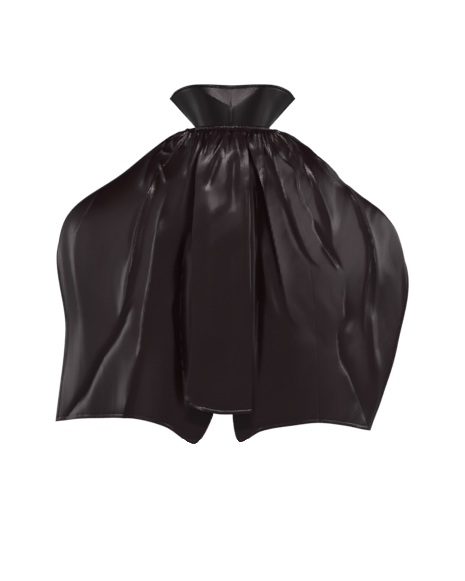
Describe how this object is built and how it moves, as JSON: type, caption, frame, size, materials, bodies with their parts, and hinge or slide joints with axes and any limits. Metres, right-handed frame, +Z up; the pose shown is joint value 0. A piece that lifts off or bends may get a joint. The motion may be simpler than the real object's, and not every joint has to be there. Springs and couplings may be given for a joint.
{
  "type": "stand-collar costume cape",
  "caption": "Child's black satin costume cape, spread as worn: stiffened stand-up collar, gathered neckband, scalloped bat-wing hem and a hook-and-loop throat closure.",
  "frame": {"origin": "centre of the neck opening, level with the seam between the collar and the neckband", "axes": "+Z up, +Y the way the wearer faces, +X the wearer's right"},
  "size_m": [0.8694, 0.2505, 0.8511],
  "materials": {
    "satin": "black polyester satin, warm charcoal in the light, high sheen with soft creases",
    "lining_satin": "matt reverse of black satin",
    "interfacing": "stiff non-woven interfacing, matt",
    "stay_tape": "woven twill tape, matt",
    "thread": "spun polyester thread",
    "hook_tape": "nylon hook tape, moulded hooks",
    "loop_tape": "brushed nylon loop tape"
  },
  "bodies": {
    "root": {"neckband_outer": "satin", "neckband_stay_tape": "stay_tape", "neckband_inner": "lining_satin", "collar_outer": "satin", "collar_interfacing": "interfacing", "collar_inner": "satin", "collar_topstitch": "thread", "back_panel": "satin", "left_side_gore_top": "satin", "left_front_gore_top": "satin", "right_side_gore_top": "satin", "right_front_gore_top": "satin", "closure_underlap_tab": "satin", "loop_patch": "loop_tape"},
    "left_wing": {"left_side_gore": "satin", "left_front_gore": "satin"},
    "right_wing": {"right_side_gore": "satin", "right_front_gore": "satin"},
    "closure_tab": {"closure_overlap_tab": "satin", "hook_patch": "hook_tape"}
  },
  "joints": [
    {"name": "left_wing_swing", "type": "hinge", "parent": "root", "child": "left_wing", "pos_m": [-0.045, -0.08, -0.4], "axis": [0, 0, -1], "range_deg": [-10, 40]},
    {"name": "right_wing_swing", "type": "hinge", "parent": "root", "child": "right_wing", "pos_m": [0, -0.08, -0.4], "axis": [0, 0, 1], "range_deg": [-10, 40]},
    {"name": "closure_tab_peel", "type": "hinge", "parent": "root", "child": "closure_tab", "pos_m": [-0.0427, 0.0562, -0.001], "axis": [0, 0, 1], "range_deg": [0, 120]}
  ]
}
